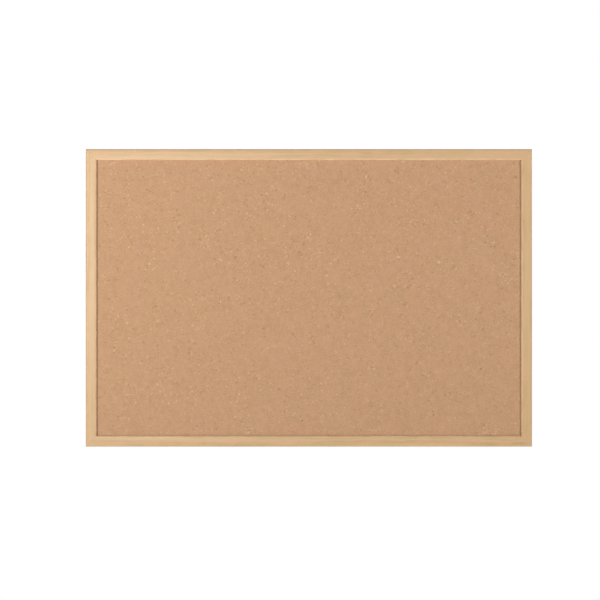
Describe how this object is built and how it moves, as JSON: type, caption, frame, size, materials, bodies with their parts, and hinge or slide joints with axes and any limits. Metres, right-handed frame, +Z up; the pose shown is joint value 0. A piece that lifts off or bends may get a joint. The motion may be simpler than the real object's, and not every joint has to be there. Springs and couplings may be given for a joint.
{
  "type": "cork bulletin board",
  "caption": "Rectangular cork pin board in a narrow mitred oak-look frame, with a hardboard back and two swinging ring hangers.",
  "frame": {"origin": "centre of the board's bounding box, halfway between the front of the frame and the wall that its bumpers touch", "axes": "+X along the width to the right as seen from the front, +Y from the cork side towards the wall, +Z up"},
  "size_m": [0.9, 0.021, 0.6],
  "materials": {
    "frame_core": "matte raw fibreboard",
    "oak_wrap": "satin pale oak with fine grain along the rail",
    "cork": "matte fine-grained agglomerated cork",
    "softboard": "matte fibrous softboard",
    "hardboard": "satin brown hardboard",
    "nail_steel": "satin steel",
    "point_steel": "satin zinc-plated steel",
    "screw_steel": "satin zinc-plated steel",
    "hanger_steel": "satin nickel-plated steel",
    "bumper_rubber": "matte"
  },
  "bodies": {
    "board": {"top_rail": "frame_core", "right_rail": "frame_core", "bottom_rail": "frame_core", "left_rail": "frame_core", "top_oak_wrap": "oak_wrap", "right_oak_wrap": "oak_wrap", "bottom_oak_wrap": "oak_wrap", "left_oak_wrap": "oak_wrap", "cork_sheet": "cork", "softboard_core": "softboard", "hardboard_back": "hardboard", "corner_nails_top_right": "nail_steel", "corner_nails_bottom_right": "nail_steel", "corner_nails_bottom_left": "nail_steel", "corner_nails_top_left": "nail_steel", "panel_points_top": "point_steel", "panel_points_right": "point_steel", "panel_points_bottom": "point_steel", "panel_points_left": "point_steel", "right_hanger_strap": "hanger_steel", "left_hanger_strap": "hanger_steel", "right_hanger_screws": "screw_steel", "left_hanger_screws": "screw_steel", "bumper_top_right": "bumper_rubber", "bumper_bottom_right": "bumper_rubber", "bumper_bottom_left": "bumper_rubber", "bumper_top_left": "bumper_rubber"},
    "right_ring": {"right_hanger_ring": "hanger_steel"},
    "left_ring": {"left_hanger_ring": "hanger_steel"}
  },
  "joints": [
    {"name": "right_ring_swing", "type": "hinge", "parent": "board", "child": "right_ring", "pos_m": [0.442, 0.00738, 0.22], "axis": [-1, 0, 0], "range_deg": [0, 178]},
    {"name": "left_ring_swing", "type": "hinge", "parent": "board", "child": "left_ring", "pos_m": [-0.442, 0.00738, 0.22], "axis": [-1, 0, 0], "range_deg": [0, 178]}
  ]
}
